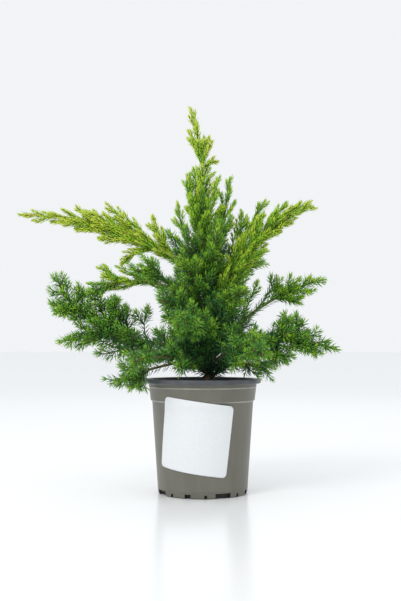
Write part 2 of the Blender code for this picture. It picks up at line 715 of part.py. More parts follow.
def make_limbs(collection, cutters, materials):
    """The trunk, then every bough and every mass of foliage on its own limb."""
    trunk = trunk_object("trunk", 0.0, collection, materials["bark"])
    smooth(trunk)
    cutter = as_helper(trunk_object("trunk_clearance", GAP, cutters))
    section = three_sided_section(cutters)
    spike = needle_mesh()
    limbs, forks = all_limbs()
    bare = {limb.name: limb.bare for limb in LIMBS} | {"leader": 0.0}
    habits = {limb.name: limb.habit for limb in LIMBS} | {"leader": LEADER_HABIT}
    space = Space(limbs, forks, bare, bare_wood(limbs, bare))
    for name, limb in limbs.items():
        if bare[name]:
            bough = tapering_tube(
                f"bough_{name}", limb.part(0.0, bare[name]), BOUGH_STEP, collection, sides=BOUGH_SIDES
            )
            bough.data.materials.append(materials["bark"])
            cut_clear(bough, cutter)
            smooth(bough)
        first = bare[name] + GAP if bare[name] else 0.0
        stem_shoot = limb.part(first, limb.length)
        habit = HABITS[habits[name]]
        shoots = mass_shoots(name, stem_shoot, forks[name], habit, space)
        stem = tapering_tube(f"foliage_{name}", stem_shoot, STEM_STEP, collection)
        pieces = bpy.data.collections.new(f"pieces_of_{name}")
        bpy.context.scene.collection.children.link(pieces)
        cores = [stem]
        for k, shoot in enumerate(shoots[1:]):
            cores.append(tapering_tube(f"twig_{name}_{k}", shoot, TWIG_STEP, pieces, section))
        for k, (root, needle, width) in enumerate(
            mass_needles(name, cores, shoots, habit, space)
        ):
            thing = add_object(f"needle_{name}_{k}", spike, pieces)
            thing.matrix_world = (
                Matrix.Translation(root)
                @ UP.rotation_difference(needle).to_matrix().to_4x4()
                @ Matrix.Diagonal((width, width, needle.length, 1.0))
            )
        fused(stem, pieces)
        stem.data.materials.append(materials[habits[name]])
        if name != "leader" and not bare[name]:
            cut_clear(stem, cutter)
    bpy.data.meshes.remove(spike)


def main():
    for thing in list(bpy.data.objects):
        bpy.data.objects.remove(thing)
    scene = bpy.context.scene
    collection = bpy.data.collections.new(OBJECT_NAME)
    cutters = bpy.data.collections.new("cutters")
    scene.collection.children.link(collection)
    scene.collection.children.link(cutters)
    materials = {
        "pot": principled("grey_brown_plastic", (0.150, 0.140, 0.122), 0.42),
        "soil": principled("dark_peat", (0.020, 0.014, 0.010), 0.95),
        "label": principled("white_paper", (0.86, 0.86, 0.86), 0.50),
        "bark": principled("red_brown_bark", (0.110, 0.055, 0.028), 0.80),
        "plume": principled("golden_foliage", (0.300, 0.400, 0.030), 0.60),
        "spray": principled("green_foliage", (0.080, 0.230, 0.035), 0.60),
        "bush": principled("blue_green_foliage", (0.035, 0.130, 0.060), 0.60),
    }
    make_pot(collection, cutters, materials["pot"])
    make_soil(collection, materials["soil"])
    make_label(collection, materials["label"])
    make_limbs(collection, cutters, materials)


if __name__ == "__main__":
    main()
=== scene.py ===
"""The looks of the potted gold star juniper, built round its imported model.

Lengths are in metres and angles in degrees, in the model's own frame: Z is up, the pot stands on
z = 0 with its axis on the Z axis, and the photographed side faces -Y.
"""

import math
import random
from collections import namedtuple

import bmesh
import bpy
import numpy as np
from mathutils import Matrix, Quaternion, Vector, noise


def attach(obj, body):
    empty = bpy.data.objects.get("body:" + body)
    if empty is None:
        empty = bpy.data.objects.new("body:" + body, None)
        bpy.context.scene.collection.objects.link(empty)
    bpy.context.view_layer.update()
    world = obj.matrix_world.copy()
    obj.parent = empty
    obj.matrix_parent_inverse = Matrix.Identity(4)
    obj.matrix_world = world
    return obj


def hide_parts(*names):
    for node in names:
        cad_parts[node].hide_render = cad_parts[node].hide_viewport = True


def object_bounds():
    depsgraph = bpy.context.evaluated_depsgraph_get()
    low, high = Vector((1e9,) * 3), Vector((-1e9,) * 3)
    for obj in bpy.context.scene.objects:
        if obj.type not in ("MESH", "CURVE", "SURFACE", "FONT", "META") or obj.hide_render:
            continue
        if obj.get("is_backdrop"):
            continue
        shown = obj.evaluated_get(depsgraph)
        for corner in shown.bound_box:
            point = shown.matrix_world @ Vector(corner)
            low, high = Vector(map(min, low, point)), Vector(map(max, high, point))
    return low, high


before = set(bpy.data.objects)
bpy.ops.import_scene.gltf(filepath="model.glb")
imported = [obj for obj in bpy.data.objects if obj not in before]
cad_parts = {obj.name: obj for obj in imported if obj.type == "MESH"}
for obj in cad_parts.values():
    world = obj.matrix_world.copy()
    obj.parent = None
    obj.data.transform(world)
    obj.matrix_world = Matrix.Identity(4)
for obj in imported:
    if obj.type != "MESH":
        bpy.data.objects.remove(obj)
CAD_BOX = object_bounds()

GAP = 0.0003
UP = Vector((0.0, 0.0, 1.0))
GOLDEN_ANGLE = math.radians(137.5)

# Pot, as in the model, with a rounder lip.
POT_HEIGHT = 0.102
LIP_RADIUS = 0.0525
LIP_HEIGHT = 0.0041
LIP_FOOT = POT_HEIGHT - LIP_HEIGHT
LIP_ROUND = 0.0009
QUARTER_STEPS = 5
MOUTH_RADIUS = 0.0474
COLLAR_RADIUS_TOP = 0.0488
COLLAR_RADIUS_FOOT = 0.0469
COLLAR_FOOT = 0.0827
COLLAR_LINE = 0.0945
WALL_RADIUS_TOP = 0.0456
WALL_TOP = 0.0819
WALL_RADIUS_FOOT = 0.0401
WALL_LINE = 0.0063
HEEL_RADIUS = 0.0388
HEEL_HEIGHT = 0.0016
WALL_THICKNESS = 0.0013
FLOOR_THICKNESS = 0.0018
MOUTH_BEVEL = 0.0005
MOUTH_DROP = 0.0001
LIP_FILLET = 0.0004
LINE_DEPTH = 0.00022
COLLAR_LINE_REACH = 0.0005
WALL_LINE_REACH = 0.0004
WALL_LINE_SHARE = 0.7
STEP_FLARE = 0.0001
STEP_ROUND = 0.0004
STEP_DRAW = 0.0003
SHOULDER_FLARE = 0.0002
SHOULDER_ROUND = 0.0006
HEEL_INSET = 0.0005
HEEL_ROUND = 0.0006
POT_SEGMENTS = 160
SHARP_ANGLE = 35
FACING_INWARD = 1e-6
# How far the painted highlight reaches round the raised line and over the step.
HIGHLIGHT_LINE_REACH = 0.0004
HIGHLIGHT_OVER_STEP = 0.0003
SLOT_REACH = 0.008
SLOT_KINDS = (
    {"first": 206.0, "count": 4, "width": 0.0145, "height": 0.0046},
    {"first": 251.0, "count": 4, "width": 0.0055, "height": 0.0040},
    {"first": 228.5, "count": 8, "width": 0.0024, "height": 0.0034},
)

# Soil: a rough surface, a little lower at the rim, with crumbs on it.
SOIL_TOP = 0.0917
SOIL_EDGE_DROP = 0.0016
SOIL_FLAT_RADIUS = 0.030
SOIL_SETTLED = 0.0012
SOIL_RINGS = 46
SOIL_SEGMENTS = 150
SOIL_LUMPS = {"height": 0.0009, "scale": 260}
SOIL_GRAIN = {"height": 0.0005, "scale": 900}
CRUMB_COUNT = 900
CRUMB_LEAST = 0.0005
CRUMB_SPREAD = 0.0013
CRUMB_SETTLED = 0.0010
CRUMB_LIFT = 0.3
CRUMB_REACH = 0.985
CRUMB_CLEARANCE = 1.4
CRUMB_SEED = 11

# Sticker.
LABEL_WIDTH = 0.0640
LABEL_HEIGHT = 0.0620
LABEL_CORNER = 0.0036
LABEL_THICKNESS = 0.00025
LABEL_CENTRE_HEIGHT = 0.0528
LABEL_HEADING = 260.5
LABEL_TURN = 8.0
STICKER_LIFT_FOOT = 0.0740
STICKER_LIFT_TOP = 0.0795
LABEL_COLUMNS = 96
LABEL_ROWS = 64
LABEL_SWELL = {"height": 0.00006, "scale": 90}

# Trunk.
TRUNK_FOOT = SOIL_TOP + GAP
TRUNK_TOP = 0.2880
TRUNK_FOOT_X = 0.0052
TRUNK_TOP_X = 0.0006
TRUNK_WAVE = 0.0012
TRUNK_FOOT_RADIUS = 0.0036
TRUNK_TOP_RADIUS = 0.0011
FLARE_RADIUS = 0.0026
FLARE_HEIGHT = 0.0055

# Bark: relief as a share of the radius, in strips that are long along the limb.
BARK_DEPTH = 0.13
BARK_STEP = 0.0009
BARK_RUN = 130
BARK_MIDDLE = 0.55
TRUNK_SIDES = 40
TRUNK_FLAKES = 2.6
TRUNK_SINK = 0.001
TRUNK_STEP = 0.0008
BOUGH_SIDES = 18
BOUGH_FLAKES = 1.8
BOUGH_OVERLAP = 0.002
BOUGH_SHIFT = 7.0

# Limbs.
LIMB_ROOT_RADIUS = 0.0009
LIMB_RADIUS_PER_LENGTH = 0.0065
LIMB_TIP_RADIUS = 0.0008
FORK_TURN = 1.0
FORK_ELBOW = 0.5
FORK_RADIUS_SHARE = 1.4
CURVE_STEP = 0.0020

# The growing rule of side shoots: shares of their spacing, turn and length.
PLACE_FIRST = 0.35
PLACE_SPREAD = 0.3
TURN_SPREAD = 0.5
LENGTH_LEAST = 0.75
LENGTH_SPREAD = 0.4
SHOOT_ELBOW = 0.55
SHOOT_STRAIGHTENING = 0.4

Habit = namedtuple("Habit", "angle share least longest every rise needle spread")
HABITS = {
    "plume": Habit(24, 0.34, 0.006, 0.042, 0.0068, 0.10, 0.0070, 29),
    "spray": Habit(36, 0.36, 0.008, 0.034, 0.0064, 0.14, 0.0080, 44),
    "bush": Habit(46, 0.38, 0.010, 0.034, 0.0062, 0.10, 0.0092, 56),
}

Limb = namedtuple("Limb", "name leaves heading reach tip out crest bare habit")
LIMBS = (
    Limb("crown_left", 0.226, 197, 0.0120, 0.268, 0.80, 0.243, 0.0, "plume"),
    Limb("crown_right", 0.205, 350, 0.0250, 0.283, 0.75, 0.236, 0.0, "plume"),
    Limb("crown_front", 0.236, 312, 0.0185, 0.281, 0.80, 0.252, 0.0, "plume"),
    Limb("crown_back", 0.222, 100, 0.0200, 0.272, 0.80, 0.240, 0.0, "plume"),
    Limb("shoulder_left", 0.196, 188, 0.0230, 0.259, 0.80, 0.222, 0.0, "plume"),
    Limb("shoulder_back", 0.190, 62, 0.0360, 0.262, 0.70, 0.224, 0.0, "plume"),
    Limb("upper_left", 0.172, 184, 0.1620, 0.2495, 0.20, 0.246, 0.036, "plume"),
    Limb("upper_right", 0.166, 12, 0.0590, 0.2660, 0.52, 0.221, 0.026, "plume"),
    Limb("right_gold", 0.124, 337, 0.1025, 0.2520, 0.25, 0.236, 0.034, "plume"),
    Limb("left_shoulder", 0.148, 196, 0.0670, 0.2000, 0.45, 0.196, 0.020, "spray"),
    Limb("mid_left", 0.158, 175, 0.1190, 0.1730, 0.40, 0.215, 0.050, "plume"),
    Limb("lower_left", 0.116, 180, 0.1340, 0.1960, 0.84, 0.133, 0.028, "bush"),
    Limb("low_left", 0.122, 199, 0.0840, 0.0985, 0.78, 0.1100, 0.022, "bush"),
    Limb("right_mid", 0.122, 4, 0.1120, 0.1925, 0.42, 0.178, 0.028, "spray"),
    Limb("right_low", 0.108, 353, 0.1160, 0.1290, 0.58, 0.150, 0.026, "bush"),
    Limb("right_bottom", 0.100, 338, 0.0620, 0.1085, 0.45, 0.126, 0.018, "bush"),
    Limb("front_left_low", 0.105, 230, 0.0900, 0.1180, 0.50, 0.130, 0.020, "bush"),
    Limb("front_right_low", 0.112, 302, 0.0940, 0.1230, 0.50, 0.138, 0.020, "bush"),
    Limb("front_left", 0.134, 233, 0.0600, 0.1700, 0.45, 0.164, 0.018, "bush"),
    Limb("front_right", 0.149, 308, 0.0600, 0.1780, 0.45, 0.172, 0.018, "spray"),
    Limb("front_middle", 0.128, 260, 0.0820, 0.1500, 0.45, 0.158, 0.018, "bush"),
    Limb("front_high", 0.156, 245, 0.0460, 0.2080, 0.50, 0.190, 0.016, "spray"),
    Limb("front_crest", 0.178, 290, 0.0370, 0.2320, 0.60, 0.212, 0.012, "spray"),
    Limb("back_left_low", 0.108, 142, 0.1080, 0.1360, 0.55, 0.146, 0.026, "bush"),
    Limb("back_low", 0.104, 97, 0.1120, 0.1260, 0.55, 0.140, 0.026, "bush"),
    Limb("back_right_low", 0.118, 52, 0.1040, 0.1340, 0.55, 0.146, 0.026, "bush"),
    Limb("back_left", 0.142, 128, 0.1000, 0.2060, 0.35, 0.196, 0.026, "spray"),
    Limb("back_right", 0.146, 40, 0.0760, 0.2140, 0.35, 0.202, 0.024, "spray"),
    Limb("back_high", 0.160, 86, 0.0660, 0.2300, 0.40, 0.214, 0.022, "spray"),
)

Fork = namedtuple("Fork", "limb at heading reach tip")
FORKS = (
    Fork("leader", 0.20, 181, 0.0130, 0.321),
    Fork("leader", 0.28, 320, 0.0034, 0.320),
    Fork("leader", 0.15, 356, 0.0085, 0.318),
    Fork("leader", 0.08, 24, 0.0140, 0.302),
    Fork("crown_left", 0.30, 170, 0.0120, 0.289),
    Fork("crown_right", 0.30, 356, 0.0270, 0.2430),
    Fork("upper_left", 0.34, 190, 0.0740, 0.2065),
    Fork("upper_left", 0.38, 187, 0.0920, 0.2270),
    Fork("upper_left", 0.46, 181, 0.1080, 0.2540),
    Fork("upper_left", 0.34, 178, 0.0800, 0.2490),
    Fork("upper_left", 0.24, 182, 0.0460, 0.2480),
    Fork("upper_left", 0.52, 186, 0.1300, 0.2425),
    Fork("upper_right", 0.45, 10, 0.0370, 0.2530),
    Fork("right_gold", 0.60, 345, 0.0980, 0.2590),
    Fork("right_gold", 0.52, 350, 0.0760, 0.2600),
    Fork("right_gold", 0.42, 340, 0.0560, 0.2470),
    Fork("right_gold", 0.40, 325, 0.0660, 0.2140),
    Fork("mid_left", 0.60, 176, 0.0930, 0.2040),
    Fork("left_shoulder", 0.50, 205, 0.0560, 0.2080),
    Fork("lower_left", 0.30, 176, 0.0520, 0.1640),
    Fork("lower_left", 0.40, 188, 0.0800, 0.1730),
    Fork("lower_left", 0.50, 181, 0.0970, 0.1840),
    Fork("lower_left", 0.66, 178, 0.1130, 0.1840),
    Fork("lower_left", 0.76, 186, 0.1320, 0.1630),
    Fork("lower_left", 0.55, 187, 0.1210, 0.1330),
    Fork("low_left", 0.62, 208, 0.0700, 0.0960),
    Fork("right_mid", 0.45, 10, 0.0690, 0.1950),
    Fork("right_mid", 0.62, 358, 0.0830, 0.1910),
    Fork("right_mid", 0.62, 0, 0.0890, 0.1700),
    Fork("right_low", 0.50, 2, 0.0800, 0.1560),
    Fork("right_low", 0.66, 350, 0.0900, 0.1530),
    Fork("right_low", 0.55, 345, 0.0660, 0.1140),
    Fork("right_low", 0.70, 356, 0.1020, 0.1260),
)
LEADER_TIP = Vector((-0.0108, 0.0, 0.3490))
LEADER_ELBOW = 0.018
LEADER_FROM_BELOW = 0.02
LEADER_HABIT = "plume"

# Fine growth that only this script adds.
TWIG_ROOT_RADIUS = 0.00060
TWIG_TIP_RADIUS = 0.00030
FINE_EVERY = {"plume": 0.0088, "spray": 0.0066, "bush": 0.0056}
FINE_SHARE = 0.42
FINE_LEAST = 0.0040
FINE_LONGEST = 0.0160
FINE_SHORTEST_PARENT = 0.012
FINE_ANGLE = 4
SIDE_MARGIN = 0.002
FINE_MARGIN = 0.003
STEM_SIDES = 7
STEM_STEP = 0.003
TWIG_SIDES = 4
TWIG_STEP = 0.004

# Needles, in whorls of three; at a shoot's end they close into a bud.
WHORL_EVERY = 0.0018
WHORL_SHIFT = 0.35
NEEDLES_PER_WHORL = 3
NEEDLE_WIDTH = 0.00062
NEEDLE_DEPTH = 0.00034
NEEDLE_BELLY = 0.38
NEEDLE_CURVE = 0.10
NEEDLE_SIZE = 0.94
NEEDLE_LENGTHS = (0.85, 1.1)
NEEDLE_TURN_SPREAD = 0.22
NEEDLE_ANGLE_SPREAD = 7
NEEDLE_ROOT = 0.0002
NEEDLE_FACES = ((0, 2, 1), (0, 3, 2), (0, 1, 3), (4, 1, 2), (4, 2, 3), (4, 3, 1))
NEEDLE_POINTS = 5
MOST_NEEDLES_IN_PIECE = 32000
SHOOT_END = 0.0004
BUD_LENGTH = 0.0060
BUD_SPREAD = 0.40
BUD_NEEDLE = 0.62
FIRST_NEEDLE_ON_BOUGH = 0.002
FIRST_NEEDLE_ON_TRUNK = 0.006
FIRST_NEEDLE_ON_INNER = 0.001

# How far foliage stays from the pot's lip and from the soil.
POT_CLEARANCE = 0.0010
LIP_CLEARANCE = 0.002
SOIL_CLEARANCE = 0.002

# Growth on the trunk itself, from a lowest to a highest place.
Inner = namedtuple("Inner", "name low high every longest habit tone")
INNER_GROWTH = (
    Inner("trunk foot", 0.100, 0.120, 0.0010, 0.050, "bush", 0.14),
    Inner("trunk low", 0.110, 0.150, 0.0018, 0.060, "bush", 0.18),
    Inner("trunk middle", 0.140, 0.205, 0.0024, 0.050, "bush", 0.24),
    Inner("trunk high", 0.195, 0.262, 0.0034, 0.036, "plume", 0.48),
    Inner("trunk top", 0.255, 0.288, 0.0030, 0.018, "plume", 0.60),
)
INNER_TWIG_EVERY = 0.0076
INNER_STEP = 0.002
INNER_LENGTHS = (0.6, 1.1)
INNER_ANGLES = (-6, 10)
INNER_ROOT_RADIUS = 0.0008
INNER_SEED = 5

# Sky that shows through the crown from the front: middle and reach across and up.
SKY_GAPS = (
    (-0.033, 0.195, 0.004, 0.012),
    (-0.052, 0.143, 0.005, 0.011),
    (-0.036, 0.110, 0.011, 0.007),
    (0.016, 0.124, 0.006, 0.006),
    (0.054, 0.164, 0.010, 0.015),
)

# Camera, and the photograph's frame.
FRAME_WIDTH, FRAME_HEIGHT = 401, 601
FOCAL_PIXELS = 880
SENSOR = 36.0
CAMERA_PLACE = Vector((-0.002, -0.800, 0.128))
CAMERA_PITCH = 3.2

# Mottled materials: the noise's detail, and where it turns from dark to light.
GRAIN_DETAIL = 6.0
GRAIN_RANGE = (0.35, 0.68)

# Needle colours from deep blue-green through leaf green to gold.
NEEDLE_COLOURS = (
    (0.020, 0.085, 0.040),
    (0.032, 0.135, 0.042),
    (0.052, 0.200, 0.034),
    (0.100, 0.300, 0.028),
    (0.170, 0.410, 0.028),
    (0.270, 0.530, 0.026),
    (0.390, 0.620, 0.030),
    (0.540, 0.680, 0.060),
)
NEEDLE_SLOTS = ("blue_green_foliage",) * 3 + ("green_foliage",) * 3 + ("golden_foliage",) * 2
STEM_SLOTS = {"gold": "golden_foliage", "brown": "bark", "green": "green_foliage"}

# A tone runs from 0, the first colour, to 1, the last: further out, higher and at the tips it rises.
TONES = {"plume": 0.50, "spray": 0.38, "bush": 0.27}
GOLDEN_LIMBS = {"upper_left": 0.20, "leader": 0.14, "right_gold": 0.08, "mid_left": 0.08}
OUTER_TONE = 1.3
OUTER_FROM = 0.05
HIGH_TONE = 0.6
HIGH_FROM = 0.19
TONE_PLACE = 0.6
TIP_TONE = 0.30
TIP_TONE_LENGTH = 0.014
TONE_SPREAD = 0.07
INNER_TONE_SPREAD = 0.09
SHOOT_TONE_SPREAD = 0.012
NEEDLE_ROUGHNESS = 0.48
NEEDLE_SPECULAR = 0.35

# Plain soft studio.
FLOOR_RADIUS = 60.0
FLOOR_COLOUR = (0.91, 0.92, 0.925)
FLOOR_ROUGHNESS = 0.22
WORLD_COLOUR = (0.93, 0.95, 0.97, 1.0)
WORLD_STRENGTH = 0.95
LIGHT_AIM = Vector((0.0, 0.0, 0.16))
Lamp = namedtuple("Lamp", "name place size power")
LAMPS = (
    Lamp("key", Vector((-0.75, -1.0, 1.15)), 0.6, 11.0),
    Lamp("fill", Vector((1.1, -0.7, 0.7)), 0.8, 1.0),
    Lamp("back", Vector((0.2, 1.1, 1.2)), 0.9, 3.0),
)


def towards(heading):
    angle = math.radians(heading)
    return Vector((math.cos(angle), math.sin(angle), 0.0))


def bend(start, elbow, tip):
    """Points along the smooth curve that leaves `start` for `elbow` and arrives at `tip`."""
    count = max(4, round(((elbow - start).length + (tip - elbow).length) / CURVE_STEP))
    points = []
    for i in range(count + 1):
        t = i / count
        points.append(start * (1 - t) ** 2 + elbow * (2 * t * (1 - t)) + tip * t**2)
    return points


class Shoot:
    """A curved shoot: the points of its axis, and its radius at both ends."""

    def __init__(self, points, root_radius, tip_radius):
        self.points = points
        self.root_radius = root_radius
        self.tip_radius = tip_radius
        self.distances = [0.0]
        for a, b in zip(points, points[1:]):
            self.distances.append(self.distances[-1] + (b - a).length)
        self.length = self.distances[-1]

    def at(self, distance):
        distance = min(max(distance, 0.0), self.length)
        i = 0
        while i < len(self.points) - 2 and self.distances[i + 1] < distance:
            i += 1
        span = self.distances[i + 1] - self.distances[i]
        a, b = self.points[i], self.points[i + 1]
        return a.lerp(b, (distance - self.distances[i]) / span), (b - a).normalized()

    def radius(self, distance):
        share = distance / self.length
        return self.root_radius + (self.tip_radius - self.root_radius) * share

    def part(self, start, end):
        inner = [p for p, d in zip(self.points, self.distances) if start < d < end]
        points = [self.at(start)[0], *inner, self.at(end)[0]]
        return Shoot(points, self.radius(start), self.radius(end))

    def stations(self, step):
        count = max(1, round(self.length / step))
        return [self.length * i / count for i in range(count + 1)]


def trunk_axis(height):
    t = (height - TRUNK_FOOT) / (TRUNK_TOP - TRUNK_FOOT)
    x = TRUNK_FOOT_X + (TRUNK_TOP_X - TRUNK_FOOT_X) * t + TRUNK_WAVE * math.sin(2 * math.pi * t)
    y = TRUNK_WAVE * math.sin(math.pi * t)
    return Vector((x, y, height))


def trunk_radius(height):
    t = (height - TRUNK_FOOT) / (TRUNK_TOP - TRUNK_FOOT)
    taper = TRUNK_FOOT_RADIUS + (TRUNK_TOP_RADIUS - TRUNK_FOOT_RADIUS) * t
    return taper + FLARE_RADIUS * math.exp(-(height - TRUNK_FOOT) / FLARE_HEIGHT)


def limb_shoot(limb):
    start = trunk_axis(limb.leaves)
    tip = towards(limb.heading) * limb.reach + UP * limb.tip
    elbow = start.lerp(tip, limb.out)
    elbow.z = limb.crest
    length = (elbow - start).length + (tip - elbow).length
    root = LIMB_ROOT_RADIUS + LIMB_RADIUS_PER_LENGTH * length
    return Shoot(bend(start, elbow, tip), root, LIMB_TIP_RADIUS)


def fork_shoot(fork, limb):
    start, direction = limb.at(fork.at * limb.length)
    tip = towards(fork.heading) * fork.reach + UP * fork.tip
    leaving = (direction + (tip - start).normalized() * FORK_TURN).normalized()
    elbow = start + leaving * (tip - start).length * FORK_ELBOW
    return Shoot(bend(start, elbow, tip), TWIG_ROOT_RADIUS * FORK_RADIUS_SHARE, TWIG_TIP_RADIUS)


def all_limbs():
    """The axes of the leader and the limbs by name, and the forks of each."""
    top = trunk_axis(TRUNK_TOP + GAP)
    below = trunk_axis(TRUNK_TOP - LEADER_FROM_BELOW)
    elbow = top + (top - below).normalized() * LEADER_ELBOW
    limbs = {"leader": Shoot(bend(top, elbow, LEADER_TIP), TRUNK_TOP_RADIUS, LIMB_TIP_RADIUS)}
    for limb in LIMBS:
        limbs[limb.name] = limb_shoot(limb)
    forks = {name: [] for name in limbs}
    for fork in FORKS:
        forks[fork.limb].append(fork_shoot(fork, limbs[fork.limb]))
    return limbs, forks


class Space:
    """Which mass each place belongs to."""

    def __init__(self, limbs, forks, bare):
        self.owners, points = [], []
        for name, limb in limbs.items():
            for shoot in (limb, *forks[name]):
                first = bare[name] if shoot is limb else 0.0
                for distance in shoot.part(first, shoot.length).distances[::2]:
                    points.append(shoot.at(first + distance)[0])
                    self.owners.append(name)
        self.owners = np.array(self.owners)
        self.points = np.array(points)

    def allows(self, name, points, margin):
        """Whether a shoot of this mass may pass through the points."""
        points = np.array(points)
        apart = np.linalg.norm(points[:, None] - self.points[None], axis=2)
        own = apart[:, self.owners == name].min(axis=1)
        other = apart[:, self.owners != name].min(axis=1)
        if (own - margin > other).any():
            return False
        return is_free(points)


def is_free(points):
    points = np.array(points)
    return not (in_sky_gap(points).any() or in_pot(points).any())


def in_pot(points):
    """Whether each point is too near to the pot's lip or to the soil."""
    out = np.hypot(points[:, 0], points[:, 1])
    height = points[:, 2]
    by_lip = (out < LIP_RADIUS + POT_CLEARANCE) & (out > MOUTH_RADIUS - LIP_CLEARANCE)
    at_lip = (height < POT_HEIGHT + POT_CLEARANCE) & by_lip
    at_soil = (height < SOIL_TOP + SOIL_CLEARANCE) & (out < LIP_RADIUS)
    return at_lip | at_soil


def in_sky_gap(points):
    """Whether each point hides one of the gaps from the camera."""
    scale = -CAMERA_PLACE.y / (points[:, 1] - CAMERA_PLACE.y)
    across = CAMERA_PLACE.x + (points[:, 0] - CAMERA_PLACE.x) * scale
    up = CAMERA_PLACE.z + (points[:, 2] - CAMERA_PLACE.z) * scale
    hidden = np.zeros(len(points), bool)
    for x, z, reach, rise in SKY_GAPS:
        hidden |= ((across - x) / reach) ** 2 + ((up - z) / rise) ** 2 < 1
    return hidden


def sideways(direction, turn):
    across = direction.cross(UP)
    if across.length < 1e-3:
        across = Vector((1.0, 0.0, 0.0))
    return Quaternion(direction, turn) @ across.normalized()


def side_shoots(name, stem, habit):
    """The side shoots of one stem by the habit's rule."""
    rng = random.Random(name)
    for i in range(int(stem.length / habit.every)):
        jitter, stretch, twist = rng.random(), rng.random(), rng.random()
        distance = habit.every * (i + PLACE_FIRST + PLACE_SPREAD * jitter)
        if distance > stem.length - 0.5 * habit.least:
            return
        start, ahead = stem.at(distance)
        length = min(habit.longest, habit.share * (stem.length - distance) + habit.least)
        length *= LENGTH_LEAST + LENGTH_SPREAD * stretch
        side = sideways(ahead, i * GOLDEN_ANGLE + TURN_SPREAD * twist)
        angle = math.radians(habit.angle)
        leaving = ahead * math.cos(angle) + side * math.sin(angle)
        elbow = start + leaving * length * SHOOT_ELBOW
        ending = leaving.lerp(ahead, SHOOT_STRAIGHTENING) + UP * habit.rise
        tip = elbow + ending.normalized() * length * (1 - SHOOT_ELBOW)
        yield Shoot(bend(start, elbow, tip), TWIG_ROOT_RADIUS, TWIG_TIP_RADIUS)


def grow(name, stem, forks, kind, space):
    """Every shoot of one mass: its stem first, then forks, side shoots and fine shoots."""
    habit = HABITS[kind]
    shoots = [stem, *forks]
    for k, parent in enumerate([stem, *forks]):
        for twig in side_shoots(name if k == 0 else f"{name} {k}", parent, habit):
            if space.allows(name, twig.points[1::2], SIDE_MARGIN):
                shoots.append(twig)
    fine_habit = habit._replace(
        share=FINE_SHARE,
        least=FINE_LEAST,
        longest=FINE_LONGEST,
        every=FINE_EVERY[kind],
        angle=habit.angle + FINE_ANGLE,
    )
    for k, parent in enumerate(list(shoots)):
        if parent is stem or parent.length < FINE_SHORTEST_PARENT:
            continue
        for twig in side_shoots(f"{name} fine {k}", parent, fine_habit):
            if space.allows(name, twig.points[1::2], FINE_MARGIN):
                shoots.append(twig)
    return shoots


def frames(shoot, distances):
    """Places, directions and two cross directions at these distances along a shoot, as arrays."""
    places, ahead = map(np.array, zip(*[shoot.at(distance) for distance in distances]))
    steep = np.abs(ahead[:, 2:3]) >= 0.95
    hint = np.where(steep, (1.0, 0.0, 0.0), (0.0, 0.0, 1.0))
    side = np.cross(ahead, hint)
    side /= np.linalg.norm(side, axis=1)[:, None]
    return places, ahead, side, np.cross(side, ahead)


class NeedleHeap:
    """Needles gathered by colour: roots, directions, cross directions, outward ways, lengths."""

    def __init__(self):
        self.rows = [[] for _ in NEEDLE_COLOURS]

    def add(self, shoot, habit, tone, rng, first):
        """Whorls of needles on a shoot from the distance `first` to its tip."""
        last = shoot.length - SHOOT_END
        count = int((last - first) / WHORL_EVERY)
        if count < 1:
            return
        shares = (np.arange(count) + rng.random(count) * WHORL_SHIFT) / count
        distances = np.append(first + shares * (last - first), last)
        places, ahead, side, across = frames(shoot, distances)
        left = shoot.length - distances
        bud = np.clip(1 - left / BUD_LENGTH, 0, 1)
        tip_tone = TIP_TONE * np.clip(1 - left / TIP_TONE_LENGTH, 0, 1)
        colour = tone + tip_tone + rng.normal(0, SHOOT_TONE_SPREAD)
        bins = (colour * len(NEEDLE_COLOURS)).astype(int)
        bins = np.clip(bins, 0, len(NEEDLE_COLOURS) - 1)
        whorls = np.arange(len(distances))
        for k in range(NEEDLES_PER_WHORL):
            turn = (2 * k + whorls) * math.pi / NEEDLES_PER_WHORL
            turn = turn + rng.normal(0, NEEDLE_TURN_SPREAD, len(whorls))
            out = side * np.cos(turn)[:, None] + across * np.sin(turn)[:, None]
            wide = np.cross(ahead, out)
            angle = habit.spread + rng.normal(0, NEEDLE_ANGLE_SPREAD, len(whorls))
            angle = np.radians(angle) * (1 - (1 - BUD_SPREAD) * bud)
            direction = ahead * np.cos(angle)[:, None] + out * np.sin(angle)[:, None]
            length = habit.needle * NEEDLE_SIZE * (1 - (1 - BUD_NEEDLE) * bud)
            length = length * rng.uniform(*NEEDLE_LENGTHS, len(whorls))
            roots = places + out * NEEDLE_ROOT
            row = np.hstack([roots, direction, wide, out, length[:, None]])
            for b in np.unique(bins):
                self.rows[b].append(row[bins == b])

    def meshes(self):
        for b, rows in enumerate(self.rows):
            if rows:
                yield b, needle_arrays(np.vstack(rows))


def needle_arrays(rows):
    """Vertices and triangles of many needles: each is a bent awl of six faces."""
    root, direction, wide, out = rows[:, 0:3], rows[:, 3:6], rows[:, 6:9], rows[:, 9:12]
    length = rows[:, 12:13]
    tip = root + direction * length
    belly = root + direction * length * NEEDLE_BELLY + out * length * NEEDLE_CURVE * 0.5
    left = belly + wide * NEEDLE_WIDTH
    right = belly - wide * NEEDLE_WIDTH
    keel = belly + np.cross(wide, direction) * NEEDLE_DEPTH
    vertices = np.stack([root, left, right, keel, tip], axis=1)[~in_pot(tip)]
    firsts = np.arange(len(vertices))[:, None, None] * NEEDLE_POINTS
    faces = firsts + np.array(NEEDLE_FACES)[None]
    return vertices.reshape(-1, 3), faces.reshape(-1, 3)


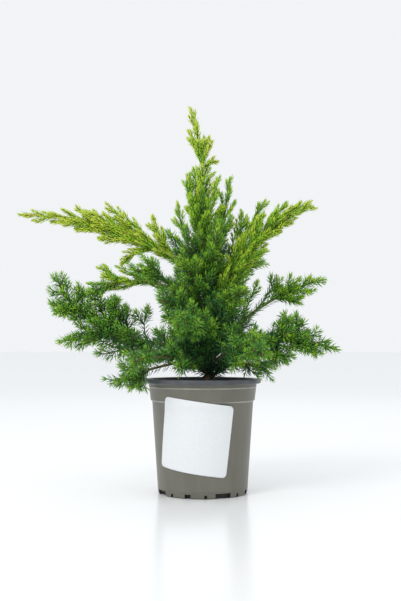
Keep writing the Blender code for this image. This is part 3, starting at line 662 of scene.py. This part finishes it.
def mesh_of(name, vertices, faces):
    """A mesh from an array of vertices and an array of faces with the same number of corners."""
    mesh = bpy.data.meshes.new(name)
    corners = faces.shape[1]
    mesh.vertices.add(len(vertices))
    mesh.vertices.foreach_set("co", np.ascontiguousarray(vertices, np.float32).ravel())
    mesh.loops.add(faces.size)
    mesh.loops.foreach_set("vertex_index", np.ascontiguousarray(faces, np.int32).ravel())
    mesh.polygons.add(len(faces))
    mesh.polygons.foreach_set("loop_start", np.arange(0, faces.size, corners, dtype=np.int32))
    mesh.update(calc_edges=True)
    return mesh


def show(name, mesh, material, slot=None, smooth=False):
    """Puts a mesh in the scene as a piece of the object."""
    piece = bpy.data.objects.new(name, mesh)
    bpy.context.scene.collection.objects.link(piece)
    mesh.materials.append(material)
    if smooth:
        mesh.shade_smooth()
    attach(piece, "root")
    return piece


def lathe_faces(rings, segments):
    """Triangles between closed rings, and fans to the two points that follow the last ring."""
    starts = np.arange(rings - 1)[:, None] * segments
    ring = np.arange(segments)
    after = (ring + 1) % segments
    low = np.stack([starts + ring, starts + after, starts + after + segments], axis=2)
    high = np.stack([starts + ring, starts + after + segments, starts + ring + segments], axis=2)
    last_ring = (rings - 1) * segments
    foot = np.full(segments, rings * segments)
    foot_fan = np.stack([foot, after, ring], axis=1)
    cap_fan = np.stack([foot + 1, last_ring + ring, last_ring + after], axis=1)
    return np.vstack([low.reshape(-1, 3), high.reshape(-1, 3), foot_fan, cap_fan])


def tube_arrays(shoot, step, sides, relief=None):
    """Vertices and triangles of a closed tube round a shoot."""
    distances = np.array(shoot.stations(step))
    places, _, side, across = frames(shoot, distances)
    turn = 2 * np.pi * np.arange(sides) / sides
    out = side[:, None] * np.cos(turn)[None, :, None]
    out = out + across[:, None] * np.sin(turn)[None, :, None]
    radius = np.array([shoot.radius(d) for d in distances])[:, None]
    radius = np.repeat(radius, sides, axis=1)
    if relief is not None:
        radius = radius * relief(distances, turn)
    rings = places[:, None] + out * radius[:, :, None]
    vertices = np.vstack([rings.reshape(-1, 3), places[:1], places[-1:]])
    outward = lathe_faces(len(distances), sides)[:, ::-1]
    return vertices, outward


def turned_arrays(profile, segments):
    """Vertices and triangles turned about the Z axis from a profile that starts and ends on it."""
    radii, heights = map(np.array, zip(*profile[1:-1]))
    turn = 2 * np.pi * np.arange(segments) / segments
    across = radii[:, None] * np.cos(turn)
    along = radii[:, None] * np.sin(turn)
    up = np.repeat(heights[:, None], segments, axis=1)
    rings = np.stack([across, along, up], axis=2)
    ends = np.array([(0.0, 0.0, profile[0][1]), (0.0, 0.0, profile[-1][1])])
    vertices = np.vstack([rings.reshape(-1, 3), ends])
    return vertices, lathe_faces(len(radii), segments)


def joined(parts):
    """Joins arrays of vertices and faces into one pair of arrays."""
    vertices, faces, first = [], [], 0
    for some, their_faces in parts:
        vertices.append(some)
        faces.append(their_faces + first)
        first += len(some)
    return np.vstack(vertices), np.vstack(faces)


def plain(name, colour, roughness, specular=0.5):
    """A material of one colour, set on the shader's own sockets."""
    material = bpy.data.materials.new(name)
    material.use_nodes = True
    shader = material.node_tree.nodes["Principled BSDF"]
    shader.inputs["Base Color"].default_value = (*colour, 1.0)
    shader.inputs["Roughness"].default_value = roughness
    shader.inputs["Specular IOR Level"].default_value = specular
    return material


def mottled(name, dark, light, roughness, scale, bump=0.0, stretch=1.0):
    """A material whose colour, and relief if it has one, follow a noise in the object's space."""
    material = plain(name, light, roughness)
    nodes, links = material.node_tree.nodes, material.node_tree.links
    shader = nodes["Principled BSDF"]
    place = nodes.new("ShaderNodeTexCoord")
    fit = nodes.new("ShaderNodeMapping")
    fit.inputs["Scale"].default_value = (1.0, 1.0, stretch)
    grain = nodes.new("ShaderNodeTexNoise")
    grain.inputs["Scale"].default_value = scale
    grain.inputs["Detail"].default_value = GRAIN_DETAIL
    ramp = nodes.new("ShaderNodeValToRGB")
    for element, position, colour in zip(ramp.color_ramp.elements, GRAIN_RANGE, (dark, light)):
        element.position = position
        element.color = (*colour, 1.0)
    links.new(place.outputs["Object"], fit.inputs["Vector"])
    links.new(fit.outputs["Vector"], grain.inputs["Vector"])
    links.new(grain.outputs["Fac"], ramp.inputs["Fac"])
    links.new(ramp.outputs["Color"], shader.inputs["Base Color"])
    if bump:
        relief = nodes.new("ShaderNodeBump")
        relief.inputs["Distance"].default_value = bump
        links.new(grain.outputs["Fac"], relief.inputs["Height"])
        links.new(relief.outputs["Normal"], shader.inputs["Normal"])
    return material


def wall_radius(height):
    share = (height - HEEL_HEIGHT) / (WALL_TOP - HEEL_HEIGHT)
    return WALL_RADIUS_FOOT + (WALL_RADIUS_TOP - WALL_RADIUS_FOOT) * share


def collar_radius(height):
    share = (height - COLLAR_FOOT) / (LIP_FOOT - COLLAR_FOOT)
    return COLLAR_RADIUS_FOOT + (COLLAR_RADIUS_TOP - COLLAR_RADIUS_FOOT) * share


def quarter(centre, radius, start):
    """Points of a quarter circle in a profile, clockwise from `start` degrees."""
    points = []
    for i in range(QUARTER_STEPS + 1):
        angle = math.radians(start - 90 * i / QUARTER_STEPS)
        points.append((centre[0] + radius * math.cos(angle), centre[1] + radius * math.sin(angle)))
    return points


def rib(radius_at, height, reach, depth):
    """A fine raised line round a wall, from its upper side down."""
    return [
        (radius_at(height + reach), height + reach),
        (radius_at(height) + depth, height),
        (radius_at(height - reach), height - reach),
    ]


def pot_profile():
    """The pot's outline from the middle of its floor up inside and down outside to its foot."""
    lip_middle = LIP_RADIUS - LIP_ROUND
    return [
        (0.0, FLOOR_THICKNESS),
        (wall_radius(FLOOR_THICKNESS) - WALL_THICKNESS, FLOOR_THICKNESS),
        (WALL_RADIUS_TOP - WALL_THICKNESS, WALL_TOP),
        (COLLAR_RADIUS_FOOT - WALL_THICKNESS, COLLAR_FOOT + WALL_THICKNESS),
        (MOUTH_RADIUS, LIP_FOOT),
        (MOUTH_RADIUS, POT_HEIGHT - MOUTH_BEVEL),
        (MOUTH_RADIUS + MOUTH_BEVEL, POT_HEIGHT - MOUTH_DROP),
        *quarter((lip_middle, POT_HEIGHT - LIP_ROUND), LIP_ROUND, 90),
        *quarter((lip_middle, LIP_FOOT + LIP_ROUND), LIP_ROUND, 0)[:-1],
        (COLLAR_RADIUS_TOP + LIP_FILLET, LIP_FOOT),
        (COLLAR_RADIUS_TOP, LIP_FOOT - LIP_FILLET),
        *rib(collar_radius, COLLAR_LINE, COLLAR_LINE_REACH, LINE_DEPTH),
        (COLLAR_RADIUS_FOOT + STEP_FLARE, COLLAR_FOOT + STEP_ROUND),
        (COLLAR_RADIUS_FOOT - STEP_DRAW, COLLAR_FOOT),
        (WALL_RADIUS_TOP + SHOULDER_FLARE, WALL_TOP),
        (wall_radius(WALL_TOP - SHOULDER_ROUND), WALL_TOP - SHOULDER_ROUND),
        *rib(wall_radius, WALL_LINE, WALL_LINE_REACH, LINE_DEPTH * WALL_LINE_SHARE),
        (WALL_RADIUS_FOOT, HEEL_HEIGHT),
        (WALL_RADIUS_FOOT - HEEL_INSET, HEEL_ROUND),
        (HEEL_RADIUS, 0.0),
        (0.0, 0.0),
    ]


def pot_look(face):
    """Which of the pot's materials a face has: 0 wall, 1 dark lip with a painted bluish sheen, 2
    inside, 3 painted highlight on the raised line and the step.
    """
    place, normal = face.center, face.normal
    if place.z > LIP_FOOT and math.hypot(place.x, place.y) > MOUTH_RADIUS - MOUTH_DROP:
        return 1
    if normal.x * place.x + normal.y * place.y < -FACING_INWARD:
        return 2
    # The raised line and the step take a painted highlight, where light catches their ridges.
    on_line = abs(place.z - COLLAR_LINE) < HIGHLIGHT_LINE_REACH
    on_step = WALL_TOP < place.z < COLLAR_FOOT + HIGHLIGHT_OVER_STEP
    return 3 if on_line or on_step else 0


def slot_cutter(materials):
    """The blocks that cut the drain slots, whose faces take the material of the pot's inside."""
    work = bmesh.new()
    for kind in SLOT_KINDS:
        for i in range(kind["count"]):
            heading = kind["first"] + 360.0 * i / kind["count"]
            place = (
                Matrix.Rotation(math.radians(heading), 4, "Z")
                @ Matrix.Translation((WALL_RADIUS_FOOT, 0.0, 0.0))
                @ Matrix.Diagonal((SLOT_REACH, kind["width"], 2 * kind["height"], 1.0))
            )
            bmesh.ops.create_cube(work, size=1.0, matrix=place)
    for face in work.faces:
        face.material_index = 2
    mesh = bpy.data.meshes.new("slots")
    work.to_mesh(mesh)
    work.free()
    for material in materials:
        mesh.materials.append(material)
    cutter = bpy.data.objects.new("slots", mesh)
    bpy.context.scene.collection.objects.link(cutter)
    return cutter


def make_pot():
    materials = [
        mottled("pot_plastic", (0.122, 0.117, 0.092), (0.152, 0.146, 0.117), 0.42, 60.0,
                bump=0.00004, stretch=0.25),
        # The lip is dark plastic like the inside, with a painted bluish sheen of reflected sky mixed
        # into its colour.
        mottled("pot_lip", (0.050, 0.056, 0.064), (0.085, 0.092, 0.102), 0.38, 80.0),
        plain("pot_inside", (0.020, 0.020, 0.020), 0.6),
        # A painted highlight: lighter plastic on the raised line and the step, standing in for light
        # catching them.
        mottled("pot_worn_edge", (0.250, 0.245, 0.215), (0.360, 0.350, 0.310), 0.42, 90.0),
    ]
    vertices, faces = turned_arrays(pot_profile(), POT_SEGMENTS)
    outward = faces[:, ::-1]
    pot = show("pot_shell", mesh_of("pot_shell", vertices, outward), materials[0], "pot_plastic")
    for material in materials[1:]:
        pot.data.materials.append(material)
    for face in pot.data.polygons:
        face.material_index = pot_look(face)
    cutter = slot_cutter(materials[:3])
    cut = pot.modifiers.new("slots", "BOOLEAN")
    cut.operation = "DIFFERENCE"
    cut.solver = "EXACT"
    cut.object = cutter
    graph = bpy.context.evaluated_depsgraph_get()
    mesh = bpy.data.meshes.new_from_object(pot.evaluated_get(graph))
    pot.modifiers.remove(cut)
    pot.data = mesh
    bpy.data.objects.remove(cutter)
    mesh.shade_smooth()
    mesh.set_sharp_from_angle(angle=math.radians(SHARP_ANGLE))
    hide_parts("pot")


def soil_drop(radius, edge):
    """How much lower than its middle the soil lies this far out."""
    return max(radius - SOIL_FLAT_RADIUS, 0) / (edge - SOIL_FLAT_RADIUS) * SOIL_EDGE_DROP


def make_soil():
    """The soil's rough top, and under it the sides that show only in the drain slots."""
    edge = collar_radius(SOIL_TOP - SOIL_EDGE_DROP) - WALL_THICKNESS - GAP
    foot = FLOOR_THICKNESS + GAP
    profile = [
        (0.0, foot),
        (wall_radius(foot) - WALL_THICKNESS - GAP, foot),
        (WALL_RADIUS_TOP - WALL_THICKNESS - GAP, WALL_TOP),
        (COLLAR_RADIUS_FOOT - WALL_THICKNESS - GAP, COLLAR_FOOT + WALL_THICKNESS),
    ]
    for i in range(SOIL_RINGS):
        radius = edge * (1 - i / SOIL_RINGS)
        profile.append((radius, SOIL_TOP - SOIL_SETTLED - soil_drop(radius, edge)))
    profile.append((0.0, SOIL_TOP - SOIL_SETTLED))
    vertices, faces = turned_arrays(profile, SOIL_SEGMENTS)
    for vertex in vertices:
        if vertex[2] > COLLAR_FOOT + WALL_THICKNESS:
            place = Vector(vertex)
            lumps = noise.fractal(place * SOIL_LUMPS["scale"], 0.9, 2.1, 5)
            grain = noise.noise(place * SOIL_GRAIN["scale"])
            vertex[2] += lumps * SOIL_LUMPS["height"] + grain * SOIL_GRAIN["height"]
    peat = mottled("dark_peat", (0.006, 0.004, 0.003), (0.045, 0.030, 0.020), 0.95, 420.0,
                   bump=0.0004)
    soil = show("soil_bed", mesh_of("soil_bed", vertices, faces), peat, "soil", smooth=True)
    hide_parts("soil")
    make_crumbs(edge, peat)


def make_crumbs(edge, peat):
    """Loose crumbs on top of the soil."""
    rng = np.random.default_rng(CRUMB_SEED)
    ball = bmesh.new()
    bmesh.ops.create_icosphere(ball, subdivisions=1, radius=1.0)
    base = np.array([vertex.co for vertex in ball.verts])
    base_faces = np.array([[vertex.index for vertex in face.verts] for face in ball.faces])
    ball.free()
    crumbs = []
    for _ in range(CRUMB_COUNT):
        radius = edge * math.sqrt(rng.random()) * CRUMB_REACH
        turn = rng.random() * 2 * math.pi
        size = CRUMB_LEAST + CRUMB_SPREAD * rng.random() ** 3
        radius = min(radius, edge - size * CRUMB_CLEARANCE)
        lump = base * size * rng.uniform(0.65, 1.25, (len(base), 1)) * rng.uniform(0.6, 1.3, 3)
        height = SOIL_TOP - CRUMB_SETTLED - soil_drop(radius, edge) + size * CRUMB_LIFT
        place = (radius * math.cos(turn), radius * math.sin(turn), height)
        crumbs.append((lump + np.array(place), base_faces))
    show("soil_crumbs", mesh_of("soil_crumbs", *joined(crumbs)), peat, "soil")


def sticker_radius(height):
    lift = (height - STICKER_LIFT_FOOT) / (STICKER_LIFT_TOP - STICKER_LIFT_FOOT)
    lift = min(max(lift, 0.0), 1.0)
    return wall_radius(height) * (1 - lift) + collar_radius(height) * lift + GAP


def label_point(across, up):
    """The place on the pot of a point on the flat sticker, measured from its middle."""
    turn = math.radians(LABEL_TURN)
    arc = across * math.cos(turn) + up * math.sin(turn)
    height = LABEL_CENTRE_HEIGHT - across * math.sin(turn) + up * math.cos(turn)
    swell = noise.noise(Vector((arc, 0.0, height)) * LABEL_SWELL["scale"])
    radius = sticker_radius(height) + swell * LABEL_SWELL["height"]
    return towards(LABEL_HEADING + math.degrees(arc / radius)) * radius + UP * height


def make_label():
    """The bare sticker: a sheet with rounded corners, bent round the pot."""
    straight = LABEL_WIDTH / 2 - LABEL_CORNER
    points, faces = [], []
    for j in range(LABEL_ROWS + 1):
        for i in range(LABEL_COLUMNS + 1):
            across = math.sin((i / LABEL_COLUMNS - 0.5) * math.pi) * LABEL_WIDTH / 2
            past = max(abs(across) - straight, 0.0)
            drawn_in = LABEL_CORNER - math.sqrt(max(LABEL_CORNER**2 - past**2, 0.0))
            up = (j / LABEL_ROWS - 0.5) * (LABEL_HEIGHT - 2 * drawn_in)
            points.append(label_point(across, up))
    for j in range(LABEL_ROWS):
        for i in range(LABEL_COLUMNS):
            a = j * (LABEL_COLUMNS + 1) + i
            b = a + LABEL_COLUMNS + 1
            faces.append((a, a + 1, b + 1, b))
    paper = mottled("white_sticker", (0.72, 0.74, 0.76), (0.755, 0.77, 0.785), 0.38, 500.0,
                    bump=0.000008)
    mesh = mesh_of("sticker", np.array(points), np.array(faces))
    label = show("sticker", mesh, paper, "label", smooth=True)
    shell = label.modifiers.new("thickness", "SOLIDIFY")
    shell.thickness = LABEL_THICKNESS
    shell.offset = 1.0
    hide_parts("label")


def bark_relief(shift, flakes):
    """A relief for a bark tube: strips and ridges that run along the limb."""

    def relief(distances, turns):
        out = np.ones((len(distances), len(turns)))
        for i, distance in enumerate(distances):
            for j, turn in enumerate(turns):
                run = distance * BARK_RUN + shift
                spot = Vector((math.cos(turn) * flakes, math.sin(turn) * flakes, run))
                strip = abs(noise.fractal(spot, 0.8, 2.2, 4))
                out[i, j] += BARK_DEPTH * (strip * 2 - BARK_MIDDLE)
        return out

    return relief


def make_bark(limbs, bare):
    """The trunk and the boughs with the relief of their bark."""
    bark = mottled("red_brown_bark", (0.070, 0.036, 0.020), (0.200, 0.125, 0.075), 0.85, 260.0,
                   bump=0.0003, stretch=0.3)
    foot = TRUNK_FOOT - TRUNK_SINK
    trunk = Shoot([trunk_axis(h) for h in np.arange(foot, TRUNK_TOP, TRUNK_STEP)], 1.0, 1.0)
    trunk.radius = lambda distance: trunk_radius(max(TRUNK_FOOT, foot + distance))
    tube = tube_arrays(trunk, BARK_STEP, TRUNK_SIDES, bark_relief(0.0, TRUNK_FLAKES))
    piece = show("trunk_bark", mesh_of("trunk_bark", *tube), bark, "bark", smooth=True)
    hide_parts("trunk")
    tubes = []
    for k, (name, limb) in enumerate(limbs.items()):
        if bare[name]:
            bough = limb.part(0.0, bare[name] + BOUGH_OVERLAP)
            relief = bark_relief(BOUGH_SHIFT * k, BOUGH_FLAKES)
            tubes.append(tube_arrays(bough, BARK_STEP, BOUGH_SIDES, relief))
    boughs = show("bough_bark", mesh_of("bough_bark", *joined(tubes)), bark, "bark", smooth=True)
    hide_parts(*[f"bough_{name}" for name in limbs if bare[name]])


def inner_stem(inner, habit, place, i, rng):
    """One short stem that leaves the trunk at this place along it."""
    length = inner.longest * rng.uniform(*INNER_LENGTHS)
    start, ahead = place
    side = sideways(ahead, i * GOLDEN_ANGLE + rng.random())
    angle = math.radians(habit.angle + rng.uniform(*INNER_ANGLES))
    leaving = ahead * math.cos(angle) + side * math.sin(angle)
    elbow = start + leaving * length * SHOOT_ELBOW
    ending = leaving.lerp(ahead, SHOOT_STRAIGHTENING)
    tip = elbow + ending.normalized() * length * (1 - SHOOT_ELBOW)
    return Shoot(bend(start, elbow, tip), INNER_ROOT_RADIUS, TWIG_TIP_RADIUS)


def grow_inner(heap, tubes):
    """The short growth on the trunk itself, which fills the middle of the crown."""
    rng = np.random.default_rng(INNER_SEED)
    for inner in INNER_GROWTH:
        habit = HABITS[inner.habit]
        twig_habit = habit._replace(every=INNER_TWIG_EVERY)
        heights = np.arange(inner.low, inner.high, INNER_STEP)
        axis = Shoot([trunk_axis(height) for height in heights], 1.0, 1.0)
        for i in range(int(axis.length / inner.every)):
            place = axis.at(inner.every * (i + rng.random()))
            stem = inner_stem(inner, habit, place, i, rng)
            for shoot in [stem, *side_shoots(f"{inner.name} {i}", stem, twig_habit)]:
                if in_sky_gap(np.array(shoot.points)).any():
                    continue
                if in_pot(np.array(shoot.points[1:])).any():
                    continue
                tone = inner.tone + rng.normal(0, INNER_TONE_SPREAD)
                heap.add(shoot, habit, tone, rng, FIRST_NEEDLE_ON_INNER)
                tubes["green"].append(tube_arrays(shoot, TWIG_STEP, TWIG_SIDES))


def tone_of(name, kind, shoot, rng):
    middle = shoot.at(TONE_PLACE * shoot.length)[0]
    out = math.hypot(middle.x, middle.y)
    tone = TONES[kind] + GOLDEN_LIMBS.get(name, 0.0)
    tone += OUTER_TONE * max(out - OUTER_FROM, 0) + HIGH_TONE * max(middle.z - HIGH_FROM, 0)
    return tone + rng.normal(0, TONE_SPREAD)


def make_foliage(limbs, forks, bare):
    """Stems, twigs and needles on every limb and on the trunk, joined by colour."""
    kinds = {limb.name: limb.habit for limb in LIMBS} | {"leader": LEADER_HABIT}
    space = Space(limbs, forks, bare)
    heap = NeedleHeap()
    tubes = {"gold": [], "brown": [], "green": []}
    for name, limb in limbs.items():
        kind = kinds[name]
        stem = limb.part(bare[name], limb.length)
        rng = np.random.default_rng(sum(map(ord, name)))
        for shoot in grow(name, stem, forks[name], kind, space):
            tone = tone_of(name, kind, shoot, rng)
            if shoot is stem:
                first = FIRST_NEEDLE_ON_BOUGH if bare[name] else FIRST_NEEDLE_ON_TRUNK
                wood = "gold" if name in GOLDEN_LIMBS else "brown"
                tubes[wood].append(tube_arrays(shoot, STEM_STEP, STEM_SIDES))
            else:
                first = 0.0
                tubes["green"].append(tube_arrays(shoot, TWIG_STEP, TWIG_SIDES))
            heap.add(shoot, HABITS[kind], tone, rng, first)
    grow_inner(heap, tubes)
    masses = [f"foliage_{name}" for name in limbs]
    show_stems(tubes, masses)
    show_needles(heap, masses)


def show_stems(tubes, masses):
    woods = {
        "gold": plain("young_golden_stem", (0.420, 0.300, 0.090), 0.55),
        "brown": plain("brown_green_stem", (0.150, 0.120, 0.045), 0.65),
        "green": plain("young_green_twig", (0.130, 0.200, 0.040), 0.60),
    }
    for kind, parts in tubes.items():
        mesh = mesh_of(f"stems_{kind}", *joined(parts))
        piece = show(f"stems_{kind}", mesh, woods[kind], STEM_SLOTS[kind], smooth=True)
        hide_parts(*masses)


def show_needles(heap, masses):
    most = MOST_NEEDLES_IN_PIECE * len(NEEDLE_FACES)
    for b, (vertices, faces) in heap.meshes():
        leaf = plain(f"needle_{b}", NEEDLE_COLOURS[b], NEEDLE_ROUGHNESS, NEEDLE_SPECULAR)
        for k in range(0, len(faces), most):
            some = faces[k : k + most]
            first, last = some.min(), some.max() + 1
            name = f"needles_{b}_{k // most}"
            mesh = mesh_of(name, vertices[first:last], some - first)
            piece = show(name, mesh, leaf, NEEDLE_SLOTS[b])
            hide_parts(*masses)


def make_stage():
    """A plain pale floor and soft studio light."""
    mesh = bpy.data.meshes.new("floor")
    work = bmesh.new()
    bmesh.ops.create_circle(work, cap_ends=True, segments=96, radius=FLOOR_RADIUS)
    work.to_mesh(mesh)
    work.free()
    mesh.materials.append(plain("pale_floor", FLOOR_COLOUR, FLOOR_ROUGHNESS))
    floor = bpy.data.objects.new("floor", mesh)
    bpy.context.scene.collection.objects.link(floor)
    floor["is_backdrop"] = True
    world = bpy.data.worlds.new("studio")
    world.use_nodes = True
    background = world.node_tree.nodes["Background"]
    background.inputs["Color"].default_value = WORLD_COLOUR
    background.inputs["Strength"].default_value = WORLD_STRENGTH
    bpy.context.scene.world = world
    for lamp in LAMPS:
        light = bpy.data.lights.new(lamp.name, "AREA")
        light.size = lamp.size
        light.energy = lamp.power
        thing = bpy.data.objects.new(lamp.name, light)
        thing.location = lamp.place
        thing.rotation_mode = "QUATERNION"
        thing.rotation_quaternion = (LIGHT_AIM - lamp.place).to_track_quat("-Z", "Y")
        bpy.context.scene.collection.objects.link(thing)


def make_camera():
    """The photograph's view."""
    camera = bpy.data.cameras.new("camera")
    camera.sensor_width = SENSOR
    camera.lens = FOCAL_PIXELS * SENSOR / max(FRAME_WIDTH, FRAME_HEIGHT)
    thing = bpy.data.objects.new("camera", camera)
    thing.location = CAMERA_PLACE
    thing.rotation_euler = (math.radians(90 + CAMERA_PITCH), 0.0, 0.0)
    bpy.context.scene.collection.objects.link(thing)
    bpy.context.scene.camera = thing
    bpy.context.scene.view_settings.view_transform = "Standard"


limbs, forks = all_limbs()
bare = {limb.name: limb.bare for limb in LIMBS} | {"leader": 0.0}
make_stage()
make_camera()
make_pot()
make_soil()
make_label()
make_bark(limbs, bare)
make_foliage(limbs, forks, bare)
bpy.context.view_layer.update()
boxes = {"cad": CAD_BOX, "visual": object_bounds()}
{name: [list(corner) for corner in box] for name, box in boxes.items()}
